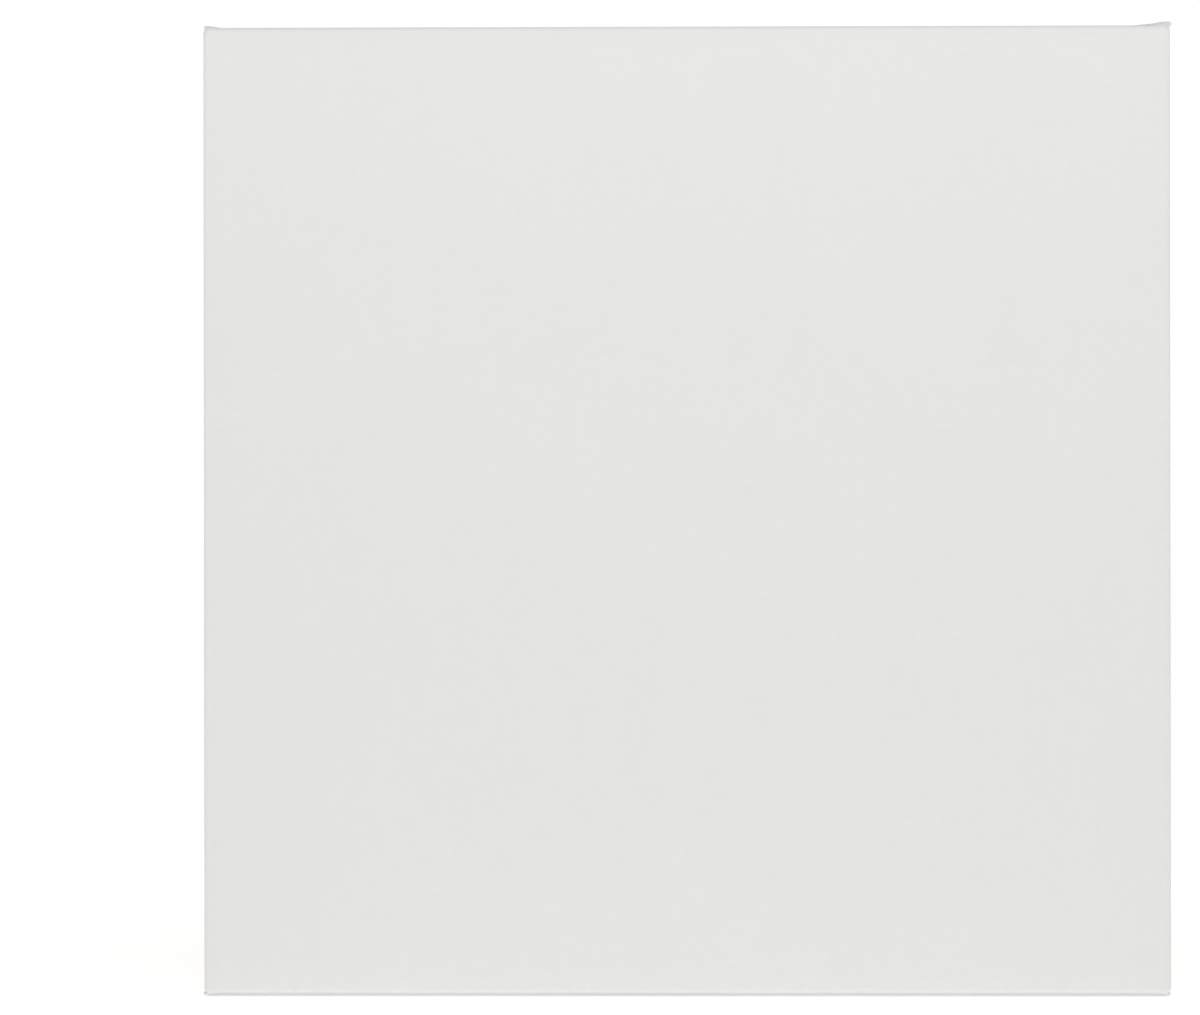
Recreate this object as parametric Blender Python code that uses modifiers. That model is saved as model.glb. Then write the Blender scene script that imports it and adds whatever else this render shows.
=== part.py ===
"""Square stretched canvas, 12 x 12 in: four keyable stretcher bars, eight corner keys,
a primed cotton cloth folded over them, and the staples that hold it at the back.

The painting face looks along -Y, the back along +Y, and +Z is up. The origin is at the middle
of the bottom of the whole object. One bar, one key and one staple are drawn at the top of the
frame, and the others are the same piece turned about Y in quarter turns.
"""

import math

import bmesh
import bpy
from mathutils import Matrix, Vector

# Driving dimensions, in metres
SIDE = 0.3048            # outside of the cloth, 12 in
BAR_DEPTH = 0.0159       # front to back, 5/8 in
BAR_WIDTH = 0.0320       # outer edge to inner edge
CLOTH = 0.0005           # thickness of the primed cloth
GAP = 0.0003             # clearance between pieces that touch
FLAP = 0.0150            # cloth turned over onto the back
FLAP_FOLD = 0.0010       # two more layers of cloth at each folded corner
FOLD_WIDTH = 0.0160      # width of the corner fold at the back: the cloth is folded on its diagonal
EDGE_RADIUS = 0.0016     # cloth where it turns over the bars

# Joints between the bars: two layers, each with a slot and a tongue
SLOT_THICKNESS = 0.0035
TONGUE_THICKNESS = SLOT_THICKNESS - 2 * GAP
FRONT_LAYER = 0.00725    # middle of the front slot, from the face of the bar
BACK_LAYER = 0.01045     # middle of the back slot
MITRE_SETBACK = GAP / 2  # each bar stands this far back from the diagonal
TONGUE_SHORT = 0.0012    # tongue tip to the outer edge of its neighbour
KEY_ROOM = 2 * GAP       # slot left past the tongue, at the outer edge
KEY_SLOPE = 0.2375       # widening of that room towards the inner edge

# Corner keys
KEY_THICKNESS = TONGUE_THICKNESS
KEY_TIP = 0.0160         # tip to the outer edge of the bar
KEY_LENGTH = 0.0260
KEY_BEVEL = 0.0004

# Staples
STAPLE_CROWN = 0.0110
STAPLE_THICKNESS = 0.0007
STAPLE_WIDTH = 0.0012
STAPLE_GRIP = 0.0050     # length of leg in the wood
STAPLE_POINT = 0.0007
STAPLE_BEND = 0.0009
STAPLES_PER_SIDE = 7
STAPLE_PITCH = 0.0400
STAPLE_INSET = 0.0085    # from the outside of the cloth

# Worked out from the above
BAR_LENGTH = SIDE - 2 * (CLOTH + GAP)
HALF = BAR_LENGTH / 2
WRAP = CLOTH + GAP
DEPTH_BEHIND = WRAP + FLAP_FOLD + GAP + STAPLE_THICKNESS
MIDDLE_Y = (WRAP - DEPTH_BEHIND) / 2
MIDDLE_Z = SIDE / 2 + FLAP_FOLD
FRAME_MIDDLE = Matrix.Translation((0.0, MIDDLE_Y, MIDDLE_Z))

SIDES = ("top", "right", "bottom", "left")
CORNERS = ("top_right", "bottom_right", "bottom_left", "top_left")

# A drawn outline's own X and Y become X and Z of the frame, and its thickness lies along Y
FACING_FRONT = Matrix.Rotation(math.radians(90), 4, "X")
# A drawn profile's own X and Y become Y and Z of the frame, and its length lies along X
ALONG_BAR = Matrix(((0, 0, 1, 0), (1, 0, 0, 0), (0, 1, 0, 0), (0, 0, 0, 1)))


def clear_scene():
    for obj in list(bpy.data.objects):
        bpy.data.objects.remove(obj, do_unlink=True)


def new_collection(name):
    collection = bpy.data.collections.new(name)
    bpy.context.scene.collection.children.link(collection)
    return collection


def new_material(name, colour, roughness, metallic=0.0):
    material = bpy.data.materials.new(name)
    material.use_nodes = True
    shader = material.node_tree.nodes["Principled BSDF"]
    shader.inputs["Base Color"].default_value = (*colour, 1.0)
    shader.inputs["Roughness"].default_value = roughness
    shader.inputs["Metallic"].default_value = metallic
    return material


def quarter_turns(count):
    """Turns the top of the frame to the right, the bottom and the left, about Y."""
    return Matrix.Rotation(math.radians(90 * count), 4, "Y")


def arc(centre_x, centre_y, radius, start, end, steps):
    """Points on an arc, with its angles in degrees from +X."""
    points = []
    for step in range(steps + 1):
        angle = math.radians(start + (end - start) * step / steps)
        points.append((centre_x + radius * math.cos(angle), centre_y + radius * math.sin(angle)))
    return points


def add_object(name, mesh, collection, material=None):
    obj = bpy.data.objects.new(name, mesh)
    collection.objects.link(obj)
    if material:
        mesh.materials.clear()
        mesh.materials.append(material)
    return obj


def evaluated_mesh(obj, name):
    """A new mesh of the object with its modifiers applied, in the object's own axes."""
    graph = bpy.context.evaluated_depsgraph_get()
    mesh = bpy.data.meshes.new_from_object(obj.evaluated_get(graph))
    mesh.name = name
    return mesh


def outline_mesh(name, points, thickness, placing):
    """A flat outline given a thickness, then placed by a matrix."""
    curve = bpy.data.curves.new(name, "CURVE")
    curve.dimensions = "2D"
    curve.fill_mode = "BOTH"
    curve.extrude = thickness / 2
    spline = curve.splines.new("POLY")
    spline.points.add(len(points) - 1)
    for point, (x, y) in zip(spline.points, points):
        point.co = (x, y, 0.0, 1.0)
    spline.use_cyclic_u = True
    drawing = bpy.data.objects.new(name, curve)
    bpy.context.scene.collection.objects.link(drawing)
    mesh = evaluated_mesh(drawing, name)
    bpy.data.objects.remove(drawing, do_unlink=True)
    bpy.data.curves.remove(curve)

    shape = bmesh.new()
    shape.from_mesh(mesh)
    bmesh.ops.remove_doubles(shape, verts=shape.verts, dist=1e-6)
    bmesh.ops.recalc_face_normals(shape, faces=shape.faces)
    shape.transform(placing)
    shape.to_mesh(mesh)
    shape.free()
    return mesh


def boxes_mesh(name, placings):
    """One mesh of separate boxes, each a unit cube placed, turned and sized by a matrix."""
    shape = bmesh.new()
    for placing in placings:
        bmesh.ops.create_cube(shape, size=1.0, matrix=placing)
    mesh = bpy.data.meshes.new(name)
    shape.to_mesh(mesh)
    shape.free()
    return mesh


def box_placing(middle, size):
    return Matrix.Translation(middle) @ Matrix.Diagonal((*size, 1.0))


def add_cutter(name, mesh, collection):
    cutter = add_object(name, mesh, collection)
    cutter.hide_render = True
    cutter.display_type = "WIRE"
    return cutter


def boolean(obj, tool, operation):
    modifier = obj.modifiers.new(tool.name, "BOOLEAN")
    modifier.object = tool
    modifier.operation = operation
    modifier.solver = "EXACT"


def bevel(obj, width, segments):
    modifier = obj.modifiers.new("rounded_edges", "BEVEL")
    modifier.width = width
    modifier.segments = segments
    modifier.limit_method = "ANGLE"


# ---- Stretcher bars -------------------------------------------------------------------------

def bar_profile():
    """Section of the top bar as (depth, height): a bead at the outer edge carries the cloth, and
    the face slopes away from it so that the cloth touches the bar nowhere else."""
    face = -BAR_DEPTH / 2
    back = BAR_DEPTH / 2
    outer = HALF
    inner = HALF - BAR_WIDTH
    bead = 0.0015
    soft = 0.0010
    round_back = 0.0015
    profile = arc(face + bead, outer - bead, bead, 90, 180, 4)
    profile += [
        (face, outer - 0.0045),
        (face + 0.0016, outer - 0.0075),
        (face + 0.0032, inner + 0.0010),
        (face + 0.0042, inner),
    ]
    profile += arc(back - round_back, inner + round_back, round_back, 270, 360, 3)
    profile += arc(back - soft, outer - soft, soft, 0, 90, 3)
    return profile


def bar_plan():
    """Plan of the top bar: mitred ends, with the outer tips rounded under the cloth. It reaches
    past the bar's inner edge, because it only trims the ends."""
    tip = 0.0010
    along = MITRE_SETBACK * math.sqrt(2)
    right_tip = arc(HALF - tip, HALF - tip, tip, 90, 54, 3)
    right_end = (HALF - BAR_WIDTH - along - GAP, HALF - BAR_WIDTH - GAP)
    right = right_tip + [right_end]
    return right + [(-x, z) for x, z in reversed(right)]


def slot_plan(side):
    """Slot at one end of the top bar: it takes the neighbour's tongue, and a key beyond it."""
    over = 0.0030
    outer_depth = BAR_WIDTH + KEY_ROOM
    bottom_at_outer = HALF - outer_depth + KEY_SLOPE * over
    bottom_at_inner = HALF - outer_depth - KEY_SLOPE * (BAR_WIDTH + over)
    points = [
        (bottom_at_outer, HALF + over),
        (HALF + over, HALF + over),
        (HALF + over, HALF - BAR_WIDTH - over),
        (bottom_at_inner, HALF - BAR_WIDTH - over),
    ]
    return [(side * x, z) for x, z in points]


def tongue_plan(side):
    """Tongue at one end of the top bar: the part of the bar's own width past the mitre."""
    root = 0.0040
    points = [
        (HALF - TONGUE_SHORT, HALF - TONGUE_SHORT - MITRE_SETBACK),
        (HALF - TONGUE_SHORT, HALF - BAR_WIDTH),
        (HALF - BAR_WIDTH - root, HALF - BAR_WIDTH),
        (HALF - BAR_WIDTH - root, HALF - BAR_WIDTH + root),
    ]
    return [(side * x, z) for x, z in points]


def layer(from_face):
    """Places an outline facing the front at a depth measured from the face of the bar."""
    return Matrix.Translation((0.0, from_face - BAR_DEPTH / 2, 0.0)) @ FACING_FRONT


def stretcher_bar_mesh(cutters):
    """The top bar: a front slot and a back tongue at its right end, the opposite at its left."""
    blank = outline_mesh("bar_blank", bar_profile(), BAR_LENGTH, ALONG_BAR)
    bar = add_cutter("bar_blank", blank, cutters)
    thick = 2 * BAR_DEPTH
    plan = outline_mesh("bar_plan", bar_plan(), thick, FACING_FRONT)
    boolean(bar, add_cutter("bar_plan", plan, cutters), "INTERSECT")
    for side, slot_depth, tongue_depth in ((1, FRONT_LAYER, BACK_LAYER), (-1, BACK_LAYER, FRONT_LAYER)):
        end = "right" if side > 0 else "left"
        slot = outline_mesh("slot_" + end, slot_plan(side), SLOT_THICKNESS, layer(slot_depth))
        boolean(bar, add_cutter("slot_" + end, slot, cutters), "DIFFERENCE")
        tongue = outline_mesh("tongue_" + end, tongue_plan(side), TONGUE_THICKNESS, layer(tongue_depth))
        boolean(bar, add_cutter("tongue_" + end, tongue, cutters), "UNION")
    return evaluated_mesh(bar, "stretcher_bar")


def add_bars(parts, cutters, material, staple_holes):
    mesh = stretcher_bar_mesh(cutters)
    for turns, side in enumerate(SIDES):
        bar = add_object("bar_" + side, mesh, parts, material)
        bar.matrix_world = FRAME_MIDDLE @ quarter_turns(turns)
        boolean(bar, staple_holes, "DIFFERENCE")


# ---- Corner keys ----------------------------------------------------------------------------

def key_plan(side):
    """Plan of a key in the top bar: a straight edge along the neighbour, a sloped edge outside."""
    straight = HALF - BAR_WIDTH - GAP
    tip = HALF - KEY_TIP
    tail = tip - KEY_LENGTH
    tip_width = KEY_SLOPE * KEY_TIP
    tail_width = KEY_SLOPE * (KEY_TIP + KEY_LENGTH)
    corner = 0.0008
    points = [
        (straight, tip),
        (straight, tail + corner),
        (straight - corner, tail),
        (straight - tail_width + corner, tail),
        (straight - tail_width, tail + corner),
        (straight - tip_width, tip),
    ]
    return [(side * x, z) for x, z in points]


def add_keys(parts, material):
    """Each bar holds a key at both ends, in that end's slot, so a corner's two keys cross."""
    middle = HALF - KEY_TIP - KEY_LENGTH / 2
    half_width = KEY_SLOPE * (KEY_TIP + KEY_LENGTH / 2) / 2
    across = HALF - BAR_WIDTH - GAP - half_width
    for side, depth, letter in ((1, FRONT_LAYER, "a"), (-1, BACK_LAYER, "b")):
        own_origin = Vector((side * across, depth - BAR_DEPTH / 2, middle))
        placing = Matrix.Translation(-own_origin) @ layer(depth)
        mesh = outline_mesh("corner_key_" + letter, key_plan(side), KEY_THICKNESS, placing)
        for turns in range(4):
            corner = CORNERS[turns] if side > 0 else CORNERS[turns - 1]
            key = add_object("key_%s_%s" % (corner, letter), mesh, parts, material)
            key.matrix_world = FRAME_MIDDLE @ quarter_turns(turns) @ Matrix.Translation(own_origin)
            bevel(key, KEY_BEVEL, 2)


# ---- Staples --------------------------------------------------------------------------------

def staple_outline():
    """A staple seen from above: its crown at the back, its legs and their points to the front."""
    half = STAPLE_CROWN / 2
    wire = STAPLE_THICKNESS
    legs = STAPLE_THICKNESS + GAP + WRAP + STAPLE_GRIP
    inside = 0.0003
    right = arc(half - STAPLE_BEND, -STAPLE_BEND, STAPLE_BEND, 90, 0, 4)
    right += [(half, STAPLE_POINT - legs), (half - wire / 2, -legs), (half - wire, STAPLE_POINT - legs)]
    right += arc(half - wire - inside, -wire - inside, inside, 0, 90, 2)
    return right + [(-x, y) for x, y in reversed(right)]


def staple_places():
    """Name, quarter turns, place in the top bar's plan, turn about Y and height of each staple."""
    row = SIDE / 2 - STAPLE_INSET
    first = -STAPLE_PITCH * (STAPLES_PER_SIDE - 1) / 2
    corner = SIDE / 2 - FLAP / 2
    places = []
    for turns, side in enumerate(SIDES):
        for number in range(STAPLES_PER_SIDE):
            along = first + STAPLE_PITCH * number
            places.append(("staple_%s_%d" % (side, number + 1), turns, along, row, 0, 0.0))
        places.append(("staple_corner_" + CORNERS[turns], turns, corner, corner, 45, FLAP_FOLD))
    return places


def staple_matrix(turns, along, height, turn, raised):
    crown = BAR_DEPTH / 2 + WRAP + GAP + STAPLE_THICKNESS + raised
    place = Matrix.Translation((along, crown, height))
    return FRAME_MIDDLE @ quarter_turns(turns) @ place @ Matrix.Rotation(math.radians(turn), 4, "Y")


def staple_hole_mesh():
    """Holes for all the legs, through the cloth and into the bars, each GAP wider all round."""
    leg = STAPLE_CROWN / 2 - STAPLE_THICKNESS / 2
    wide = STAPLE_THICKNESS + 2 * GAP
    high = STAPLE_WIDTH + 2 * GAP
    reach = STAPLE_THICKNESS + GAP + WRAP + STAPLE_GRIP + GAP
    placings = []
    for _name, *place in staple_places():
        for side in (-1, 1):
            hole = box_placing((side * leg, -reach / 2, 0.0), (wide, reach, high))
            placings.append(staple_matrix(*place) @ hole)
    return boxes_mesh("staple_holes", placings)


def add_staples(parts, material):
    mesh = outline_mesh("staple", staple_outline(), STAPLE_WIDTH, Matrix.Identity(4))
    for name, *place in staple_places():
        staple = add_object(name, mesh, parts, material)
        staple.matrix_world = staple_matrix(*place)


# ---- Cloth ----------------------------------------------------------------------------------

def corner_fold(across, up, cutters):
    """Cloth folded over itself at one corner: a triangle on the top or bottom side, which widens
    from nothing at the front, and a square on the back."""
    side = SIDE / 2
    back = BAR_DEPTH / 2 + WRAP
    inset = GAP
    tall = EDGE_RADIUS + FLAP_FOLD
    name = "fold_%s_%s" % ("top" if up > 0 else "bottom", "right" if across > 0 else "left")
    triangle = [
        (across * (side - inset), -BAR_DEPTH / 2 + EDGE_RADIUS),
        (across * (side - inset), back + FLAP_FOLD),
        (across * (side - inset - FOLD_WIDTH), back + FLAP_FOLD),
    ]
    placing = Matrix.Translation((0.0, 0.0, up * (side - EDGE_RADIUS + tall / 2)))
    fold = add_cutter(name, outline_mesh(name, triangle, tall, placing), cutters)
    middle = (
        across * (side - inset - FLAP / 2),
        back + (FLAP_FOLD - CLOTH) / 2,
        up * (side + FLAP_FOLD - FLAP / 2),
    )
    patch = boxes_mesh(name + "_back", [box_placing(middle, (FLAP, FLAP_FOLD + CLOTH, FLAP))])
    boolean(fold, add_cutter(name + "_back", patch, cutters), "UNION")
    return fold


def add_cloth(parts, cutters, material, staple_holes):
    """One sheet over the front, the four sides and the edge of the back."""
    def square_box(name, width, depth, middle_y):
        return boxes_mesh(name, [box_placing((0.0, middle_y, 0.0), (width, depth, width))])

    depth = BAR_DEPTH + 2 * WRAP
    canvas = add_object("canvas", square_box("canvas", SIDE, depth, 0.0), parts, material)
    bevel(canvas, EDGE_RADIUS, 4)
    for across in (1, -1):
        for up in (1, -1):
            boolean(canvas, corner_fold(across, up, cutters), "UNION")

    hollow_mesh = square_box("canvas_hollow", SIDE - 2 * CLOTH, depth - 2 * CLOTH, 0.0)
    hollow = add_cutter("canvas_hollow", hollow_mesh, cutters)
    bevel(hollow, EDGE_RADIUS - CLOTH, 4)
    boolean(canvas, hollow, "DIFFERENCE")

    open_back = square_box("canvas_open_back", SIDE - 2 * FLAP, BAR_DEPTH, BAR_DEPTH)
    boolean(canvas, add_cutter("canvas_open_back", open_back, cutters), "DIFFERENCE")
    boolean(canvas, staple_holes, "DIFFERENCE")

    canvas.matrix_world = FRAME_MIDDLE
    for obj in cutters.objects:
        if obj.name.startswith(("fold_", "canvas_")):
            obj.matrix_world = FRAME_MIDDLE


def main():
    clear_scene()
    parts = new_collection("stretched_canvas")
    cutters = new_collection("cutters")
    pine = new_material("pine", (0.72, 0.53, 0.33), 0.62)
    beech = new_material("beech", (0.66, 0.44, 0.27), 0.50)
    primed_cotton = new_material("primed_cotton", (0.87, 0.87, 0.85), 0.78)
    steel = new_material("staple_steel", (0.62, 0.62, 0.61), 0.32, metallic=1.0)

    staple_holes = add_cutter("staple_holes", staple_hole_mesh(), cutters)
    add_bars(parts, cutters, pine, staple_holes)
    add_keys(parts, beech)
    add_cloth(parts, cutters, primed_cotton, staple_holes)
    add_staples(parts, steel)


main()
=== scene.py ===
"""Looks of the square stretched canvas: the primed cloth folded over its bars, bare wood, steel
staples, a white floor and soft studio light. Lengths are in metres, in the frame's own axes:
the painting face looks along -Y, the back along +Y, and +Z is up.
"""

import math
import random

import bmesh
import bpy
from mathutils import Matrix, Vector, geometry, noise


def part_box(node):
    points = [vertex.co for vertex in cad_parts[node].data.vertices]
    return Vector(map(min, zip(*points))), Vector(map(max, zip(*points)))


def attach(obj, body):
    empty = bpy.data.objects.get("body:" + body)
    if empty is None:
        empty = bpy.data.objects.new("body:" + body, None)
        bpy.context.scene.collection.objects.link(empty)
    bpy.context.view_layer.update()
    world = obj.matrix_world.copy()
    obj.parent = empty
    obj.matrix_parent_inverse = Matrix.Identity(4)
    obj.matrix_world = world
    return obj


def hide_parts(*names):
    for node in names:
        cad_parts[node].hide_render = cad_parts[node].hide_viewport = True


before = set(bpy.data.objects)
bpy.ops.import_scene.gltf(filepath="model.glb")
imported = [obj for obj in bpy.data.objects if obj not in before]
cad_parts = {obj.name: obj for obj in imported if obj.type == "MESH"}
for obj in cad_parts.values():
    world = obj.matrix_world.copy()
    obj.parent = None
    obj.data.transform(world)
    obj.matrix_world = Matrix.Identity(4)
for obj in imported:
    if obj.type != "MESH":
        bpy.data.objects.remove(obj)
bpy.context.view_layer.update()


# ---- Places, read from the frame ------------------------------------------------------------

CANVAS_LOW, CANVAS_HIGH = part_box("canvas")
BACK_OF_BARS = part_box("bar_top")[1].y
HALF_SIDE = CANVAS_HIGH.x
MIDDLE_Z = (CANVAS_LOW.z + CANVAS_HIGH.z) / 2
FRONT = CANVAS_LOW.y
STAPLES_PER_SIDE = sum(name.startswith("staple_top_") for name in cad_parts)

# ---- Cloth ----------------------------------------------------------------------------------

CLOTH = 0.00036          # thickness, primer and all
LAYER = 0.00038          # from one layer of a fold to the next
EDGE_RADIUS = 0.0016     # outside of the cloth where it turns over the bars
FLAP = 0.0150            # width of the flap on the back
FLAP_RISE = 0.0008       # outside of the cloth on the back, above the bars
STAPLE_PRESS = 0.00105   # the same under a staple's crown
CORNER_PRESS = 0.00205   # the same under a corner's staple
STAPLE_DENT = 0.0022     # how far a staple's dent spreads round its crown
CORNER_DENT = 0.0020     # the same at a corner's staple

FOLD_SLOPE = 0.84        # width of a corner's fold for each unit of its depth
FOLD_RAMP = 0.0045       # the top cloth comes down to the bar over this width, past the fold
FOLD_START = 0.0026      # the fold's layers part over this depth
FOLD_SINK = 0.0003       # the folded layers are pressed down to the bar, inside their outer edge
SINK_WIDTH = 0.0035      # over this width
PUFF_DEPTH = 0.0030      # a loose fold puffs up over this depth
PUFF_FADE = 0.0030       # and comes down over this width
BULGE_AT_BACK = 0.3      # how much of a fold's bulge is left on the back
UNDER_RAMP = 0.0020      # the fold comes down off the side's flap over this width
SIDE_RAMP = 0.0040       # the side's flap lies flat from this far before the fold
LAYER_RAGGED = 0.0004    # how unevenly the layers of a fold are cut
RAGGED_PLACE = 0.0110    # which shows from here, over the next width
RAGGED_WIDTH = 0.0040

BELLY_PLACE = 0.0055     # the flap stands off the bars most, this far in from the frame's edge
BELLY_WIDTH = 0.0040
BELLY_LEAST = 0.35       # how much of that is left elsewhere on the flap
FLAP_START = 0.0030      # the flap comes loose over this width, past the back edge
FLAP_LOOSE = 0.00038     # how far it stands off
FLAP_LOOSE_CHANGE = 0.00016
CURL_PLACE = 0.0105      # the cut edge curls up from here, over the next width
CURL_WIDTH = 0.0045
CURL = 0.00012
CURL_CHANGE = 0.00030
DRAWN_START = 0.0060     # the sides dip at each staple, from this far past the flat of the face
DRAWN_RAMP = 0.0100
DRAWN = 0.00005
CUT_PLACE = 0.0100       # the cut edge wanders, and the cloth with it from here, over the next width
CUT_WIDTH = 0.0050
CUT_WANDER = 0.0007      # how far, in long waves
CUT_RAGGED = 0.00025     # and in short ones

ROLL_STEPS = 5           # mesh lines round each edge of the cloth
SIDE_STEPS = 10          # and along its sides
SIDE_GROWTH = 1.6        # closer together at the front, where the folds start
FLAP_STEPS = 12
CORNER_STEPS = 4
CORNER_STEP = 0.0005     # flat cloth taken up by each of them
FOLD_RUN_STEPS = 6
STAPLE_STEP = 0.0015     # spacing of the mesh lines at a staple
STAPLE_STEPS = 6         # how many there are to either side of its middle
STAPLE_REACH = 0.0090    # and how far they reach
BETWEEN_STEPS = 4        # mesh lines from there to the next staple's
END_STEPS = 13           # mesh lines from the last staple to the corner
FACE_RINGS = ((0.006, 0.006), (0.012, 0.018))    # spacing, and distance from the face's edge
FACE_MIDDLE = 0.036      # inside the rings, a plain grid starts this far from the edge
FACE_STEPS = 10
WELD = 2e-6              # points nearer than this are one
SHARP = math.radians(50)                 # edges that turn more than this are shaded sharp

THREAD = 0.00016         # thickness of a loose thread
THREAD_POINTS = 6        # points along it
THREADS_PER_SIDE = 11
THREAD_REACH = 0.122     # loose threads stay this near to the middle of a side
THREAD_TUCK = 0.0009     # and start this far inside the flap
THREAD_SHORT = 0.0018    # and are from this long
THREAD_LONG = 0.0052     # to this long
THREAD_LOW = 0.00012     # a thread's free end lies this far above the bar
THREAD_LOOP = 0.0005     # and its middle stands up by as much as this

WARP = 0.00062           # from thread to thread in the weave
WEFT = 0.00070
THREAD_DRIFT = 0.0005    # how far the woven threads stray from straight
PINE_RING = 0.0027       # width of a year's growth
BEECH_RING = 0.0019

ROLL = EDGE_RADIUS - CLOTH / 2       # radius of the middle of the cloth
EDGE = HALF_SIDE - CLOTH / 2         # middle of the cloth on the four sides
FLAT = EDGE - ROLL                   # where the flat of the face ends and the roll starts
FACE_Y = FRONT + CLOTH / 2
FLAP_Y = BACK_OF_BARS + FLAP_RISE - CLOTH / 2


def smooth(value):
    """0 below 0, 1 above 1, and a soft step between."""
    value = min(max(value, 0.0), 1.0)
    return value * value * (3 - 2 * value)


def blend(low, high, amount):
    """The value an amount of the way from low to high."""
    return low + (high - low) * amount


def wobble(*place):
    """Smooth noise from -1 to 1 that is the same each run."""
    return noise.noise(Vector(place))


def staple_places():
    """Middle of each side staple's crown, along its side, from the frame's own nodes."""
    places = []
    for number in range(1, STAPLES_PER_SIDE + 1):
        low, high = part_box("staple_top_%d" % number)
        places.append((low.x + high.x) / 2)
    return places


STAPLE_ALONG = staple_places()
STAPLE_LOW, STAPLE_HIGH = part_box("staple_top_1")
STAPLE_HALF = (STAPLE_HIGH.x - STAPLE_LOW.x) / 2
STAPLE_ROW = MIDDLE_Z + HALF_SIDE - (STAPLE_LOW.z + STAPLE_HIGH.z) / 2


class Station:
    """One line of the cloth round the edge of the frame, at a length from the face."""

    def __init__(self, out, y, normal_out, normal_y, length):
        self.out = out
        self.y = y
        self.normal_out = normal_out
        self.normal_y = normal_y
        self.length = length
        self.on_flap = HALF_SIDE - out if normal_out < 0.5 and normal_y > 0 else 0.0
        self.over_back = smooth(normal_y)


def stations():
    """The cloth's way from the face, over the front edge, along the side and onto the back."""
    found = []
    for step in range(ROLL_STEPS + 1):
        turn = math.pi / 2 * step / ROLL_STEPS
        out = FLAT + ROLL * math.sin(turn)
        y = FACE_Y + ROLL * (1 - math.cos(turn))
        found.append(Station(out, y, math.sin(turn), -math.cos(turn), ROLL * turn))
    side_start = FACE_Y + ROLL
    side_end = FLAP_Y - ROLL
    length = found[-1].length
    for step in range(1, SIDE_STEPS + 1):
        run = (side_end - side_start) * (step / SIDE_STEPS) ** SIDE_GROWTH
        found.append(Station(EDGE, side_start + run, 1.0, 0.0, length + run))
    length = found[-1].length
    for step in range(1, ROLL_STEPS + 1):
        turn = math.pi / 2 * step / ROLL_STEPS
        out = FLAT + ROLL * math.cos(turn)
        y = side_end + ROLL * math.sin(turn)
        found.append(Station(out, y, math.cos(turn), math.sin(turn), length + ROLL * turn))
    length = found[-1].length
    flap_run = FLAT - (HALF_SIDE - FLAP)
    for step in range(1, FLAP_STEPS + 1):
        run = flap_run * step / FLAP_STEPS
        found.append(Station(FLAT - run, FLAP_Y, 0.0, 1.0, length + run))
    return found


STATIONS = stations()
APEX = ROLL * math.pi / 4            # the corner folds start half-way round the front edge
BACK_ROLL_END = next(i for i, s in enumerate(STATIONS) if s.normal_y > 0.999)
UNDER_START = HALF_SIDE - FLAP       # the left and right flaps reach in to here, under the folds


def lines():
    """Places of the cloth's lines along a side: close together by the staples and corners."""
    places = {round(FLAT, 6), round(-FLAT, 6)}
    for middle in STAPLE_ALONG:
        for step in range(-STAPLE_STEPS, STAPLE_STEPS + 1):
            places.add(round(middle + STAPLE_STEP * step, 6))
    for left, right in zip(STAPLE_ALONG, STAPLE_ALONG[1:]):
        for step in range(1, BETWEEN_STEPS):
            place = blend(left + STAPLE_REACH, right - STAPLE_REACH, step / BETWEEN_STEPS)
            places.add(round(place, 6))
    for step in range(1, END_STEPS):
        place = blend(STAPLE_ALONG[-1] + STAPLE_REACH, FLAT, step / END_STEPS)
        places.add(round(place, 6))
        places.add(round(-place, 6))
    return sorted(places)


LINES = lines()


class Corner:
    """How the cloth is folded at one corner. Every fold is made by hand and differs a little:
    how steep it is, how far its outer edge stands out, and how loose the cloth lies over it."""

    def __init__(self, across, up, slope, bulge, puff, puff_width):
        self.across = across
        self.up = up
        self.slope = slope
        self.bulge = bulge
        self.puff = puff
        self.puff_width = puff_width

    def fold_depth(self, station):
        """Distance from the fold's point, on the front edge, to a line of the cloth."""
        return max(station.length - APEX, 0.0)

    def fold_width(self, station):
        """How far the folded layers reach in from the corner: more, the deeper."""
        return self.slope * self.fold_depth(station)

    def fold_end(self, station):
        """Distance from the frame's middle to the inner end of the folded layers."""
        return FLAT - max(self.fold_width(station) - ROLL, 0.0)

    def outer_end(self, station):
        """Distance from the frame's middle to the outer edge of the fold."""
        apart = smooth(self.fold_depth(station) / FOLD_START)
        bulge = self.bulge * blend(1, BULGE_AT_BACK, station.over_back)
        return blend(FLAT, EDGE + bulge, apart)

    def layer(self, station):
        """Height of one layer here: the layers part as the fold gets away from its point."""
        return LAYER * smooth(self.fold_depth(station) / FOLD_START)

    def sink(self, station, out):
        """How far the layers are pressed down, inside their outer edge."""
        inside = smooth((FLAT - out) / SINK_WIDTH)
        return FOLD_SINK * inside * smooth(self.fold_depth(station) / FOLD_START)

    def looseness(self, station, out):
        """The top cloth stands off the fold by this much, more towards its outer edge."""
        depth = smooth(self.fold_depth(station) / PUFF_DEPTH) * (1 - station.over_back)
        inside = smooth((EDGE - out - self.puff_width) / PUFF_FADE)
        return self.puff * depth * (1 - inside)

    def under(self, station, out):
        """Height that the cloth of the left or right flap adds below the fold, on the back."""
        covered = smooth((out - UNDER_START + UNDER_RAMP) / UNDER_RAMP)
        return LAYER * station.over_back * covered


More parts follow.
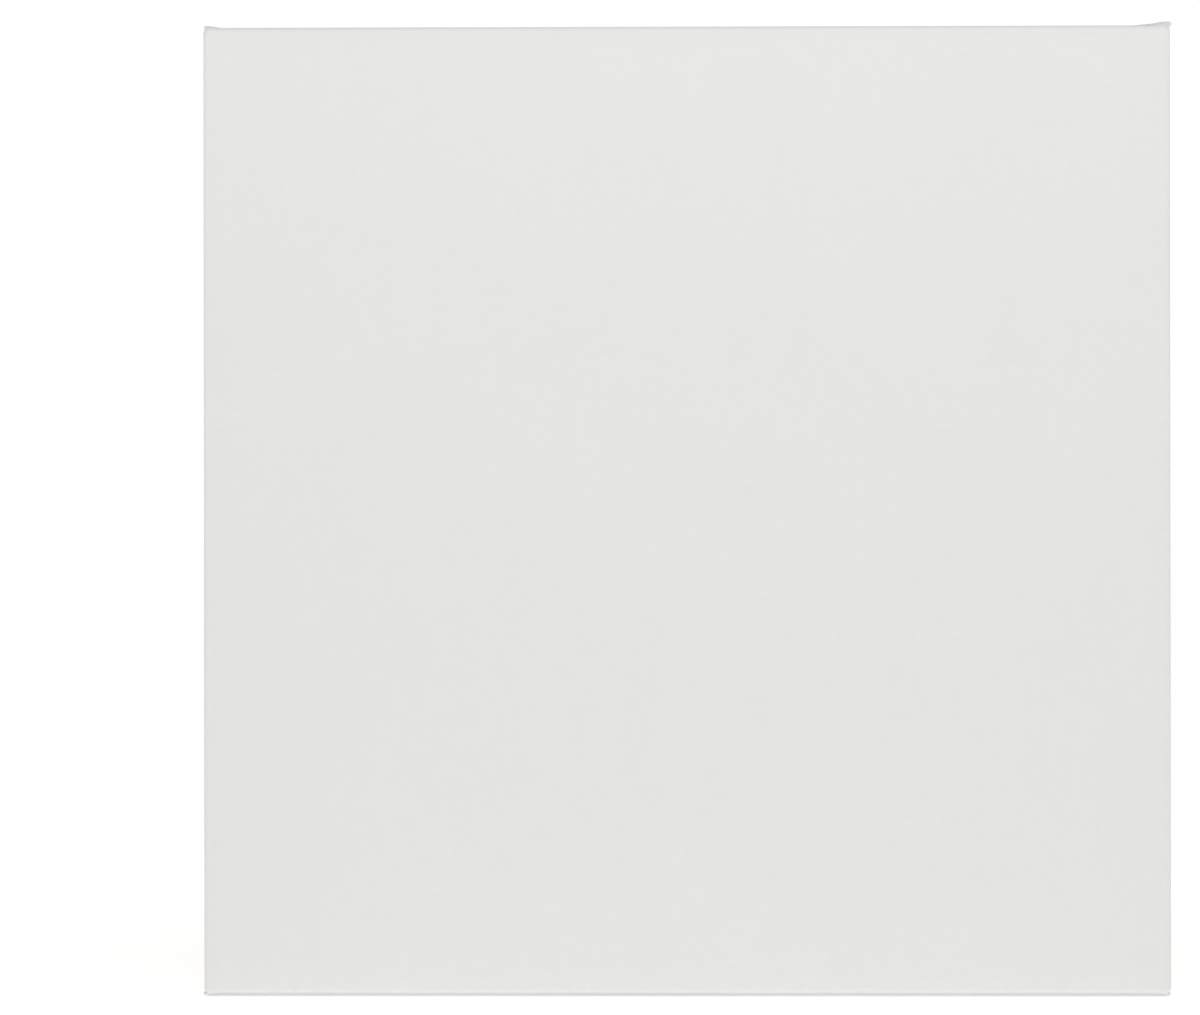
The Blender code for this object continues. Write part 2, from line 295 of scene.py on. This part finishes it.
CORNERS = {
    (1, 1): Corner(1, 1, FOLD_SLOPE, bulge=0.0008, puff=0.00065, puff_width=0.0105),
    (-1, 1): Corner(-1, 1, 0.80, bulge=0.0001, puff=0.0, puff_width=0.003),
    (1, -1): Corner(1, -1, 0.82, bulge=0.0001, puff=0.00010, puff_width=0.0025),
    (-1, -1): Corner(-1, -1, FOLD_SLOPE, bulge=0.0005, puff=0.00006, puff_width=0.0020),
}


def press(height, along, station, corner_press):
    """Lowers or lifts the cloth on the back to sit just under the staples' crowns."""
    into = station.on_flap
    for middle in STAPLE_ALONG:
        past_end = max(abs(along - middle) - STAPLE_HALF, 0.0)
        away = math.hypot(past_end, into - STAPLE_ROW)
        hold = math.exp(-((away / STAPLE_DENT) ** 2))
        height = blend(height, STAPLE_PRESS - FLAP_RISE, hold)
    if corner_press:
        across = HALF_SIDE - FLAP / 2 - abs(along)
        off_line = (across + (into - FLAP / 2)) / math.sqrt(2)
        along_line = abs(across - (into - FLAP / 2)) / math.sqrt(2)
        away = math.hypot(off_line, max(along_line - STAPLE_HALF, 0.0))
        hold = math.exp(-((away / CORNER_DENT) ** 2))
        height = blend(height, CORNER_PRESS - FLAP_RISE, hold)
    return height


def rise(side, along, station):
    """Height of the outer cloth above its plain path, at a place along a side."""
    seed = 11.0 * side
    into = station.on_flap
    if into > 0:
        belly = math.exp(-(((into - BELLY_PLACE) / BELLY_WIDTH) ** 2))
        loose = FLAP_LOOSE + FLAP_LOOSE_CHANGE * wobble(along * 45, into * 60, seed)
        start = smooth(into / FLAP_START)
        edge = smooth((into - CURL_PLACE) / CURL_WIDTH)
        curl = CURL + CURL_CHANGE * wobble(along * 55, seed, 3.0)
        return loose * max(belly, BELLY_LEAST) * start + curl * edge
    drawn = smooth((station.length - DRAWN_START) / DRAWN_RAMP) * (1 - station.over_back)
    between = math.cos(2 * math.pi * along / (STAPLE_ALONG[1] - STAPLE_ALONG[0]))
    return drawn * DRAWN * (1 - between + wobble(along * 60, seed, 7.0))


def top_height(up, along, station):
    """Height of the outer cloth on the top or bottom side, over the folds at its two ends."""
    side = 0 if up > 0 else 2
    corner = CORNERS[(1 if along > 0 else -1, up)]
    out = abs(along)
    ramp = smooth((out - corner.fold_end(station) + FOLD_RAMP) / FOLD_RAMP)
    over_fold = 2 * corner.layer(station) + corner.looseness(station, out)
    over_fold -= corner.sink(station, out)
    height = rise(side, along, station) + over_fold * ramp + corner.under(station, out)
    if station.on_flap:
        height = press(height, along, station, True)
    return height


def side_height(across, along, station):
    """The same on the left or right side, whose ends lie under the folds."""
    side = 1 if across > 0 else 3
    height = rise(side, along, station)
    if station.on_flap:
        height = press(height, along, station, False)
        covered = smooth((abs(along) - UNDER_START) / SIDE_RAMP + 1)
        height = blend(height, 0.0, covered)
    return height


def cut_wander(side, along, station):
    """How far the cloth moves in or out because the flap isn't cut quite straight."""
    near = smooth((station.on_flap - CUT_PLACE) / CUT_WIDTH)
    wander = CUT_WANDER * wobble(along * 22, side * 5.0, 1.0)
    wander += CUT_RAGGED * wobble(along * 160, side * 5.0, 2.0)
    return wander * near


def on_top(x, up, station, height, wander=0.0):
    """Point on the cloth's way over the top or bottom side."""
    out = station.out + station.normal_out * height + wander
    y = station.y + station.normal_y * height
    return Vector((x, y, MIDDLE_Z + up * out))


def on_side(z, across, station, height, wander=0.0):
    """The same over the left or right side."""
    out = station.out + station.normal_out * height + wander
    y = station.y + station.normal_y * height
    return Vector((across * out, y, MIDDLE_Z + z))


class ClothMesh:
    """Collects grids of points, each with its place on the flat cloth."""

    def __init__(self):
        self.shape = bmesh.new()
        self.flat = self.shape.loops.layers.uv.new("flat")

    def grid(self, rows, flat_rows):
        """Adds a grid of faces through rows of points, with their places on the flat cloth."""
        corners = [[self.shape.verts.new(point) for point in row] for row in rows]
        for i in range(len(rows) - 1):
            for j in range(len(rows[0]) - 1):
                places = ((i, j), (i, j + 1), (i + 1, j + 1), (i + 1, j))
                face = self.shape.faces.new([corners[a][b] for a, b in places])
                for loop, (a, b) in zip(face.loops, places):
                    loop[self.flat].uv = flat_rows[a][b]

    def finish(self, name):
        """Joins the grids where they meet, faces them outwards, and returns the mesh."""
        bmesh.ops.remove_doubles(self.shape, verts=self.shape.verts, dist=WELD)
        bmesh.ops.dissolve_degenerate(self.shape, edges=self.shape.edges, dist=1e-7)
        bmesh.ops.recalc_face_normals(self.shape, faces=self.shape.faces)
        front = min(self.shape.faces, key=lambda f: f.calc_center_median().y)
        if front.normal.y > 0:
            bmesh.ops.reverse_faces(self.shape, faces=self.shape.faces)
        mesh = bpy.data.meshes.new(name)
        self.shape.to_mesh(mesh)
        self.shape.free()
        return mesh


def add_face(cloth):
    """The painting face: a flat sheet whose edge has all the cloth's lines, and few inside."""
    rim = [(x, -FLAT) for x in LINES[:-1]] + [(FLAT, z) for z in LINES[:-1]]
    rim += [(-x, FLAT) for x in LINES[:-1]] + [(-FLAT, -z) for z in LINES[:-1]]
    inner = []
    for spacing, inset in FACE_RINGS:
        reach = FLAT - inset
        count = round(2 * reach / spacing)
        ring = [blend(-reach, reach, i / count) for i in range(count)]
        inner += [(x, -reach) for x in ring] + [(reach, z) for z in ring]
        inner += [(-x, reach) for x in ring] + [(-reach, -z) for z in ring]
    reach = FLAT - FACE_MIDDLE
    middle = [blend(-reach, reach, i / FACE_STEPS) for i in range(FACE_STEPS + 1)]
    inner += [(x, z) for x in middle for z in middle]
    points = [Vector(p) for p in rim + inner]
    edges = [(i, (i + 1) % len(rim)) for i in range(len(rim))]
    found = geometry.delaunay_2d_cdt(points, edges, [], 1, 1e-7)
    corners = [cloth.shape.verts.new((p.x, FACE_Y, MIDDLE_Z + p.y)) for p in found[0]]
    for triangle in found[2]:
        face = cloth.shape.faces.new([corners[i] for i in triangle])
        for loop in face.loops:
            loop[cloth.flat].uv = (loop.vert.co.x, loop.vert.co.z - MIDDLE_Z)


def add_strips(cloth):
    """The four sides with their flaps on the back."""

    def top_point(sign, x, station):
        height = top_height(sign, x, station)
        return on_top(x, sign, station, height, cut_wander(1 - sign, x, station))

    def side_point(sign, z, station):
        height = side_height(sign, z, station)
        return on_side(z, sign, station, height, cut_wander(2 - sign, z, station))

    for sign in (1, -1):
        reach = [sign * (FLAT + station.length) for station in STATIONS]
        top = [[top_point(sign, x, station) for x in LINES] for station in STATIONS]
        cloth.grid(top, [[(x, far) for x in LINES] for far in reach])
        side = [[side_point(sign, z, station) for z in LINES] for station in STATIONS]
        cloth.grid(side, [[(far, z) for z in LINES] for far in reach])


def corner_edge(corner, station):
    """Round edge between two sides, from the left or right side to the top or bottom one."""
    rounding = ROLL * min(station.normal_out, 1.0)
    points = []
    for step in range(CORNER_STEPS + 1):
        turn = math.pi / 2 * step / CORNER_STEPS
        x = FLAT + rounding * math.cos(turn)
        z = FLAT + rounding * math.sin(turn)
        points.append(Vector((corner.across * x, station.y, MIDDLE_Z + corner.up * z)))
    return points


def folded_layers(corner, station):
    """Line through a corner's folded layers: in under the top cloth, back out to the edge, and
    over into the top cloth itself. Each point is a distance out and a height."""
    layer = corner.layer(station)
    inner_end = corner.fold_end(station)
    outer_end = corner.outer_end(station)
    low_turn = layer / 2
    high_turn = (layer + corner.looseness(station, outer_end)) / 2
    steps = FOLD_RUN_STEPS
    line = [(blend(FLAT, inner_end, i / steps), 0.0) for i in range(steps)]
    for i in range(CORNER_STEPS + 1):
        turn = math.pi * i / CORNER_STEPS
        line.append((inner_end - low_turn * math.sin(turn), low_turn * (1 - math.cos(turn))))
    far = max(outer_end - high_turn, inner_end)
    line += [(blend(inner_end, far, i / steps), layer) for i in range(1, steps)]
    for i in range(CORNER_STEPS + 1):
        turn = math.pi * i / CORNER_STEPS
        line.append((far + high_turn * math.sin(turn), layer + high_turn * (1 - math.cos(turn))))
    return [(out, height - corner.sink(station, out)) for out, height in line]


def layer_point(corner, station, out, height):
    """Point on a corner's folded layers. Where they are cut, no layer ends just under another."""
    ragged = LAYER_RAGGED * wobble(height * 3000, corner.across * 9.0, corner.up * 4.0)
    wander = cut_wander(1 - corner.up, corner.across * out, station)
    wander += ragged * smooth((station.on_flap - RAGGED_PLACE) / RAGGED_WIDTH)
    raised = height + corner.under(station, out)
    return on_top(corner.across * out, corner.up, station, raised, wander)


def layer_lengths(line):
    """Cloth still to come, from each point of a line through the layers to the flat's end."""
    runs = [0.0]
    for (out, height), (next_out, next_height) in zip(line, line[1:]):
        runs.append(runs[-1] + math.hypot(next_out - out, next_height - height))
    whole = runs[-1] + line[-1][0] - FLAT
    return [whole - run for run in runs]


def add_corner(cloth, corner):
    """A corner's rounded edge, as far as the back, and the folded layers beside it."""
    edge_rows, edge_flat, fold_rows, fold_flat = [], [], [], []
    for number, station in enumerate(STATIONS):
        far = FLAT + station.length
        if number <= BACK_ROLL_END:
            edge_rows.append(corner_edge(corner, station))
            edge_flat.append([(far, FLAT + CORNER_STEP * i) for i in range(CORNER_STEPS + 1)])
        line = folded_layers(corner, station)
        row = [layer_point(corner, station, out, height) for out, height in line]
        along = corner.across * FLAT
        height = top_height(corner.up, along, station)
        row.append(on_top(along, corner.up, station, height, cut_wander(1 - corner.up, along, station)))
        fold_rows.append(row)
        fold_flat.append([(FLAT + length, far) for length in layer_lengths(line) + [0.0]])
    cloth.grid(edge_rows, edge_flat)
    cloth.grid(fold_rows, fold_flat)


def make_cloth():
    """The whole sheet: its face, sides and corners in one skin, thickened to cloth."""
    cloth = ClothMesh()
    add_face(cloth)
    add_strips(cloth)
    for corner in CORNERS.values():
        add_corner(cloth, corner)
    mesh = cloth.finish("primed_cloth")
    obj = bpy.data.objects.new("primed_cloth", mesh)
    bpy.context.scene.collection.objects.link(obj)
    for material in (primed_cotton(), raw_cotton(), cut_edge()):
        mesh.materials.append(material)
    thick = obj.modifiers.new("thickness", "SOLIDIFY")
    thick.thickness = CLOTH
    thick.offset = 0.0
    thick.material_offset = 1
    thick.material_offset_rim = 2
    graph = bpy.context.evaluated_depsgraph_get()
    solid = bpy.data.meshes.new_from_object(obj.evaluated_get(graph))
    obj.modifiers.clear()
    obj.data = solid
    solid.shade_smooth()
    solid.set_sharp_from_angle(angle=SHARP)
    return obj


def make_threads():
    """Short ends of thread that have come loose along the cut edges of the four flaps."""
    draw = random.Random(7)
    curve = bpy.data.curves.new("loose_threads", "CURVE")
    curve.dimensions = "3D"
    curve.bevel_depth = THREAD / 2
    curve.bevel_resolution = 1
    curve.resolution_u = 3
    for number in range(4 * THREADS_PER_SIDE):
        side = number % 4
        along = draw.uniform(-THREAD_REACH, THREAD_REACH)
        out = HALF_SIDE - FLAP + THREAD_TUCK
        length = draw.uniform(THREAD_SHORT, THREAD_LONG)
        lean = draw.uniform(-1.2, 1.2)
        bend = draw.uniform(-1.0, 1.0)
        spline = curve.splines.new("NURBS")
        spline.points.add(THREAD_POINTS - 1)
        spline.use_endpoint_u = True
        spline.order_u = 3
        for step, point in enumerate(spline.points):
            run = step / (THREAD_POINTS - 1)
            inward = out - length * run * math.cos(lean * 0.6)
            sideways = along + length * (run * math.sin(lean) + 0.35 * bend * run * run)
            lift = blend(FLAP_RISE - CLOTH, THREAD_LOW, smooth(run * 1.6))
            lift += THREAD_LOOP * math.sin(math.pi * run) * abs(bend)
            x, z = sideways, inward
            for _ in range(side):
                x, z = z, -x
            point.co = (x, BACK_OF_BARS + lift, MIDDLE_Z + z, 1.0)
    threads = bpy.data.objects.new("loose_threads", curve)
    bpy.context.scene.collection.objects.link(threads)
    curve.materials.append(cotton_thread())
    return threads


# ---- Materials ------------------------------------------------------------------------------

class Nodes:
    """Short calls for building one material's nodes."""

    def __init__(self, name):
        self.material = bpy.data.materials.new(name)
        self.material.use_nodes = True
        self.tree = self.material.node_tree
        self.shader = self.tree.nodes["Principled BSDF"]

    def add(self, kind, inputs=None, output=0, **settings):
        """Adds a node with its inputs and settings, and returns one of its outputs."""
        node = self.tree.nodes.new(kind)
        for key, value in settings.items():
            setattr(node, key, value)
        for key, value in (inputs or {}).items():
            self.put(value, node.inputs[key])
        return node.outputs[output]

    def put(self, value, socket):
        """Links a node's output to a socket, or sets a plain value on it."""
        if isinstance(value, bpy.types.NodeSocket):
            self.tree.links.new(value, socket)
        else:
            socket.default_value = value

    def math(self, operation, first, second=0.0, clamp=False):
        """One sum on one or two numbers."""
        return self.add("ShaderNodeMath", {0: first, 1: second}, operation=operation, use_clamp=clamp)

    def mix(self, amount, low, high):
        """Mix of two colours."""
        return self.add(
            "ShaderNodeMix", {"Factor": amount, 6: low, 7: high}, output=2, data_type="RGBA"
        )

    def mix_value(self, amount, low, high):
        """Mix of two numbers."""
        return self.add("ShaderNodeMix", {"Factor": amount, 2: low, 3: high}, data_type="FLOAT")

    def noise(self, vector, scale, detail=2.0, roughness=0.5):
        """Cloudy noise from 0 to 1."""
        inputs = {"Vector": vector, "Scale": scale, "Detail": detail, "Roughness": roughness}
        return self.add("ShaderNodeTexNoise", inputs)

    def step(self, value, low, high):
        """Soft step of a value between two limits."""
        inputs = {"Value": value, "From Min": low, "From Max": high}
        return self.add("ShaderNodeMapRange", inputs, interpolation_type="SMOOTHSTEP")

    def xyz(self, vector):
        """The three parts of a vector."""
        node = self.tree.nodes.new("ShaderNodeSeparateXYZ")
        self.tree.links.new(vector, node.inputs[0])
        return node.outputs

    def vector(self, x, y, z):
        return self.add("ShaderNodeCombineXYZ", {0: x, 1: y, 2: z})

    def bump(self, height, distance, strength):
        inputs = {"Height": height, "Distance": distance, "Strength": strength}
        return self.add("ShaderNodeBump", inputs)

    def finish(self, **sockets):
        """Sets the shader's sockets by name, and returns the material."""
        for name, value in sockets.items():
            self.put(value, self.shader.inputs[name.replace("_", " ").title()])
        return self.material


def plain_weave(nodes):
    """Plain weave on the flat cloth: the place on the cloth, the weave's relief from 0 to 1, and a
    value that is 1 where the warp is on top."""
    flat = nodes.add("ShaderNodeUVMap", uv_map="flat")
    drift = nodes.noise(flat, 130.0, 1.0)
    across, along, _ = nodes.xyz(flat)
    across = nodes.math("ADD", across, nodes.math("MULTIPLY", drift, THREAD_DRIFT))
    along = nodes.math("ADD", along, nodes.math("MULTIPLY", drift, -THREAD_DRIFT))
    wave_x = nodes.math("SINE", nodes.math("MULTIPLY", across, math.pi / WARP))
    wave_y = nodes.math("SINE", nodes.math("MULTIPLY", along, math.pi / WEFT))
    warp_up = nodes.step(nodes.math("MULTIPLY", wave_x, wave_y), -0.12, 0.12)
    round_x = nodes.math("ABSOLUTE", wave_x)
    round_y = nodes.math("ABSOLUTE", wave_y)

    def thread(profile, length):
        lens = nodes.math("ADD", nodes.math("MULTIPLY", length, 0.4), 0.6)
        return nodes.math("MULTIPLY", profile, lens)

    relief = nodes.mix_value(warp_up, thread(round_y, round_x), thread(round_x, round_y))
    return flat, relief, warp_up


def primed_cotton():
    """Matt white primer that fills the weave but doesn't hide it, with faint painted shade in the
    weave's hollows.
    """
    nodes = Nodes("primed_cotton")
    flat, relief, _ = plain_weave(nodes)
    thickness = nodes.noise(flat, 900.0, 3.0, 0.6)
    filled = nodes.math("ADD", relief, nodes.math("MULTIPLY", thickness, 0.55))
    cloudy = nodes.noise(flat, 28.0, 3.0)
    thin_white = (0.804, 0.804, 0.789, 1)
    thick_white = (0.809, 0.809, 0.794, 1)
    white = nodes.mix(nodes.step(cloudy, 0.3, 0.7), thin_white, thick_white)
    # Painted shade: the weave's hollows are mixed towards a darker, greyer white.
    painted_hollow_shade = nodes.math("MULTIPLY", nodes.step(relief, 0.45, 0.0), 0.10)
    hollow_shade_white = (0.72, 0.715, 0.69, 1)
    colour = nodes.mix(painted_hollow_shade, white, hollow_shade_white)
    rough = nodes.mix_value(thickness, 0.68, 0.86)
    return nodes.finish(
        base_color=colour, roughness=rough, normal=nodes.bump(filled, 0.00008, 0.75)
    )


def raw_cotton():
    """Unprimed side of the cotton: cream threads, painted shade in the weave's hollows, and a few brown
    flecks of seed.
    """
    nodes = Nodes("raw_cotton")
    flat, relief, warp_up = plain_weave(nodes)
    across, along, _ = nodes.xyz(flat)
    warp_place = nodes.vector(nodes.math("MULTIPLY", across, 1400.0), 0.0, along)
    warp_tone = nodes.noise(warp_place, 1.0, 2.0)
    weft_place = nodes.vector(across, nodes.math("MULTIPLY", along, 1250.0), 4.0)
    weft_tone = nodes.noise(weft_place, 1.0, 2.0)
    tone = nodes.mix_value(warp_up, weft_tone, warp_tone)
    dark_cream = (0.74, 0.66, 0.51, 1)
    light_cream = (0.84, 0.77, 0.63, 1)
    cream = nodes.mix(nodes.step(tone, 0.3, 0.7), dark_cream, light_cream)
    # Painted shade: the weave's hollows are mixed towards a dark brown shade colour.
    painted_hollow_shade = nodes.math("MULTIPLY", nodes.step(relief, 0.55, 0.0), 0.55)
    shade = (0.48, 0.39, 0.26, 1)
    shaded = nodes.mix(painted_hollow_shade, cream, shade)
    flecks = nodes.step(nodes.noise(flat, 620.0, 2.0), 0.735, 0.78)
    seed_brown = (0.22, 0.14, 0.08, 1)
    colour = nodes.mix(flecks, shaded, seed_brown)
    fuzz = nodes.noise(flat, 2600.0, 2.0)
    height = nodes.math("ADD", relief, nodes.math("MULTIPLY", fuzz, 0.35))
    return nodes.finish(
        base_color=colour, roughness=0.95, normal=nodes.bump(height, 0.00012, 0.8),
        sheen_weight=0.25, sheen_roughness=0.6,
    )


def cotton_thread():
    """Loose end of raw thread."""
    nodes = Nodes("cotton_thread")
    place = nodes.add("ShaderNodeTexCoord", output=3)
    twist = nodes.noise(place, 3000.0, 1.0)
    colour = nodes.mix(twist, (0.66, 0.58, 0.44, 1), (0.86, 0.81, 0.70, 1))
    return nodes.finish(base_color=colour, roughness=0.95)


def cut_edge():
    """Cut ends of the threads, light and dark cream mixed."""
    nodes = Nodes("cut_cotton")
    place = nodes.add("ShaderNodeTexCoord", output=3)
    ends = nodes.noise(place, 3800.0, 2.0)
    colour = nodes.mix(nodes.step(ends, 0.4, 0.6), (0.55, 0.48, 0.37, 1), (0.80, 0.76, 0.66, 1))
    return nodes.finish(base_color=colour, roughness=0.95, normal=nodes.bump(ends, 0.0001, 0.8))


def wood(name, along, light, dark, ring, seed, flecked=False):
    """Planed wood with its grain along X or Z: growth rings round a far centre, fine fibres and
    pores along the grain. Beech has plain rings and many brown flecks."""
    nodes = Nodes(name)
    x, y, z = nodes.xyz(nodes.add("ShaderNodeTexCoord", output=3))
    if along == "Z":
        x, z = z, x
    length = nodes.math("ADD", x, seed * 1.37)

    def stretched(along_scale, across_scale):
        """Place with the scales of something drawn out along the grain."""
        far = nodes.math("MULTIPLY", length, along_scale)
        wide = nodes.math("MULTIPLY", y, across_scale)
        return nodes.vector(far, wide, nodes.math("MULTIPLY", z, across_scale))

    bend = nodes.math("SUBTRACT", nodes.noise(stretched(5.0, 18.0), 1.0), 0.5)
    sway = nodes.math("MULTIPLY", bend, 0.010)
    centre_y = 0.034 + 0.007 * math.sin(seed * 2.1)
    centre_z = 0.020 * math.sin(seed) - (MIDDLE_Z if along == "X" else 0.0)
    off_y = nodes.math("ADD", nodes.math("ADD", y, centre_y), sway)
    off_z = nodes.math("ADD", nodes.math("ADD", z, centre_z), sway)
    place = nodes.vector(0.0, off_y, off_z)
    reach = nodes.add("ShaderNodeVectorMath", {0: place}, output=1, operation="LENGTH")
    uneven = nodes.noise(nodes.vector(nodes.math("MULTIPLY", reach, 170.0), seed, 0.0), 1.0, 1.0)
    years = nodes.math("ADD", nodes.math("DIVIDE", reach, ring), nodes.math("MULTIPLY", uneven, 1.6))
    year = nodes.math("FRACT", years)
    late = nodes.math("MULTIPLY", nodes.step(year, 0.30, 0.93), nodes.step(year, 1.0, 0.95))
    fibres = nodes.noise(stretched(55.0, 2600.0), 1.0, 3.0, 0.6)
    broad = nodes.noise(stretched(9.0, 160.0), 1.0)
    amount = nodes.math("MULTIPLY", late, 0.20 if flecked else 0.62)
    amount = nodes.math("ADD", amount, nodes.math("MULTIPLY", fibres, 0.36))
    amount = nodes.math("ADD", amount, nodes.math("MULTIPLY", broad, 0.34))
    colour = nodes.mix(nodes.math("SUBTRACT", amount, 0.26, clamp=True), light, dark)
    pore_place = stretched(420.0, 2300.0) if flecked else stretched(130.0, 3000.0)
    pores = nodes.step(nodes.noise(pore_place, 1.0, 1.0), 0.62, 0.70)
    pore_share = 0.42 if flecked else 0.16
    pore_brown = (0.30, 0.15, 0.08, 1)
    colour = nodes.mix(nodes.math("MULTIPLY", pores, pore_share), colour, pore_brown)
    rough = nodes.mix_value(fibres, 0.50, 0.72)
    relief = nodes.math("ADD", nodes.math("MULTIPLY", fibres, 0.9), nodes.math("MULTIPLY", late, 0.16))
    return nodes.finish(base_color=colour, roughness=rough, normal=nodes.bump(relief, 0.00006, 0.7))


def staple_steel():
    """Galvanised wire: dull grey metal with fine spangle and a few dark specks."""
    nodes = Nodes("staple_steel")
    place = nodes.add("ShaderNodeTexCoord", output=3)
    spangle = nodes.noise(place, 1500.0, 3.0, 0.6)
    specks = nodes.step(nodes.noise(place, 5200.0, 1.0), 0.66, 0.74)
    zinc = nodes.mix(nodes.step(spangle, 0.35, 0.65), (0.40, 0.41, 0.42, 1), (0.52, 0.53, 0.53, 1))
    colour = nodes.mix(nodes.math("MULTIPLY", specks, 0.5), zinc, (0.20, 0.19, 0.18, 1))
    rough = nodes.mix_value(spangle, 0.44, 0.30)
    return nodes.finish(
        base_color=colour, metallic=1.0, roughness=rough, normal=nodes.bump(spangle, 0.00001, 0.3)
    )


def dress(node, material):
    """Gives a CAD node its material."""
    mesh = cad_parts[node].data
    mesh.materials.clear()
    mesh.materials.append(material)


def toned(colour, tone):
    """A colour made lighter or darker, for one piece of wood."""
    return tuple(channel * tone for channel in colour[:3]) + (1,)


def dress_wood_and_steel():
    """Every bar and key gets its own wood, a little lighter or darker than the others."""
    pine_light = (0.79, 0.60, 0.36, 1)
    pine_dark = (0.53, 0.30, 0.13, 1)
    beech_light = (0.68, 0.46, 0.29, 1)
    beech_dark = (0.47, 0.27, 0.15, 1)
    bar_tones = {"top": 1.0, "right": 0.93, "bottom": 0.97, "left": 1.04}
    for number, (side, tone) in enumerate(bar_tones.items()):
        along = "X" if side in ("top", "bottom") else "Z"
        light, dark = toned(pine_light, tone), toned(pine_dark, tone)
        dress("bar_" + side, wood("pine_" + side, along, light, dark, PINE_RING, 1.0 + number))
    keys = sorted(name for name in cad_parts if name.startswith("key_"))
    for number, name in enumerate(keys):
        low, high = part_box(name)
        along = "X" if high.x - low.x > high.z - low.z else "Z"
        tone = 1.0 + 0.07 * math.sin(2.4 * number)
        light, dark = toned(beech_light, tone), toned(beech_dark, tone)
        beech = wood("beech_" + name, along, light, dark, BEECH_RING, 7.0 + number, flecked=True)
        dress(name, beech)
    steel = staple_steel()
    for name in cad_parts:
        if name.startswith("staple_"):
            dress(name, steel)


# ---- Stage, light and camera ----------------------------------------------------------------

FLOOR_SIZE = 40.0
FLOOR_WHITE = 0.86
FLOOR_GLOW = 0.50
GLOW_IN_PAINTED_SHADOW = 0.6         # share of the glow that is left where the canvas stands: a painted shadow under it
GLOW_EDGE = 0.002        # and the width over which it goes, to either side of the edge

HORIZON_LOW = 0.12       # the backdrop is white up to here, as the sine of the angle up to it
HORIZON_HIGH = 0.45      # and grey from here
HORIZON_WHITE = 1.04
OVERHEAD_GREY = 0.50

CAMERA_AWAY = 1.5
CAMERA_ASIDE = -0.0046
CAMERA_LENS = 141.9      # in mm


def make_floor():
    """White floor that glows a little, so that it is as white as the backdrop, and less where
    the canvas stands on it: there the dimmer glow is a painted shadow."""
    bpy.ops.mesh.primitive_plane_add(size=FLOOR_SIZE, location=(0.0, 0.0, 0.0))
    floor = bpy.context.object
    floor.name = "floor"
    nodes = Nodes("floor_white")
    x, y, _ = nodes.xyz(nodes.add("ShaderNodeTexCoord", output=3))
    beside_x = nodes.math("SUBTRACT", nodes.math("ABSOLUTE", x), HALF_SIDE)
    beside_y = nodes.math("SUBTRACT", nodes.math("ABSOLUTE", y), -FRONT)
    # Mask of the painted shadow: 0 on the canvas's footprint, 1 beyond it.
    clear = nodes.step(nodes.math("MAXIMUM", beside_x, beside_y), -GLOW_EDGE, GLOW_EDGE)
    nodes.finish(
        base_color=(FLOOR_WHITE, FLOOR_WHITE, FLOOR_WHITE, 1), roughness=0.9,
        emission_color=(1, 1, 1, 1),
        emission_strength=nodes.mix_value(clear, GLOW_IN_PAINTED_SHADOW * FLOOR_GLOW, FLOOR_GLOW),
    )
    floor.data.materials.append(nodes.material)


def make_world():
    """White at the horizon and grey overhead, so that edges that face up read darker."""
    world = bpy.data.worlds.new("studio")
    bpy.context.scene.world = world
    world.use_nodes = True
    tree = world.node_tree
    place = tree.nodes.new("ShaderNodeTexCoord")
    split = tree.nodes.new("ShaderNodeSeparateXYZ")
    fade = tree.nodes.new("ShaderNodeMapRange")
    fade.interpolation_type = "SMOOTHSTEP"
    fade.inputs["From Min"].default_value = HORIZON_LOW
    fade.inputs["From Max"].default_value = HORIZON_HIGH
    fade.inputs["To Min"].default_value = HORIZON_WHITE
    fade.inputs["To Max"].default_value = OVERHEAD_GREY
    tree.links.new(place.outputs["Generated"], split.inputs[0])
    tree.links.new(split.outputs["Z"], fade.inputs["Value"])
    tree.links.new(fade.outputs[0], tree.nodes["Background"].inputs["Strength"])
    tree.nodes["Background"].inputs["Color"].default_value = (1.0, 1.0, 0.995, 1.0)


def add_light(name, kind, place, aim, strength, size):
    """A sun of an angular size, or a round softbox of a width, turned towards a point."""
    data = bpy.data.lights.new(name, kind)
    data.energy = strength
    if kind == "SUN":
        data.angle = size
    else:
        data.shape = "DISK"
        data.size = size
    light = bpy.data.objects.new(name, data)
    bpy.context.scene.collection.objects.link(light)
    light.location = place
    light.rotation_euler = (Vector(aim) - Vector(place)).to_track_quat("-Z", "Y").to_euler()


def make_camera():
    """Long lens at the height of the canvas's middle, square to it but for a degree or so."""
    data = bpy.data.cameras.new("camera")
    data.lens = CAMERA_LENS
    data.clip_end = 200.0
    camera = bpy.data.objects.new("camera", data)
    bpy.context.scene.collection.objects.link(camera)
    camera.location = (CAMERA_ASIDE, -CAMERA_AWAY, MIDDLE_Z)
    turn_left = math.radians(0.87)
    tilt_up = math.radians(0.03)
    roll = math.radians(0.07)
    camera.rotation_euler = (math.pi / 2 + tilt_up, roll, turn_left)
    bpy.context.scene.camera = camera


def make_studio():
    """Floor, backdrop and camera, with a softbox in front and above that lights the face's top a
    little more than its foot, and a faint wide sun."""
    bpy.context.scene.view_settings.view_transform = "Standard"
    make_floor()
    make_world()
    middle = (0.0, 0.0, MIDDLE_Z)
    add_light("fill", "SUN", (0.12, -1.2, 1.1), middle, strength=0.04, size=math.radians(35))
    add_light("top_softbox", "AREA", (0.05, -0.45, 0.85), middle, strength=1.20, size=0.4)
    make_camera()


# ---- The object -----------------------------------------------------------------------------

cloth = make_cloth()
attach(cloth, "frame")
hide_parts("canvas")
threads = make_threads()
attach(threads, "frame")
dress_wood_and_steel()
make_studio()
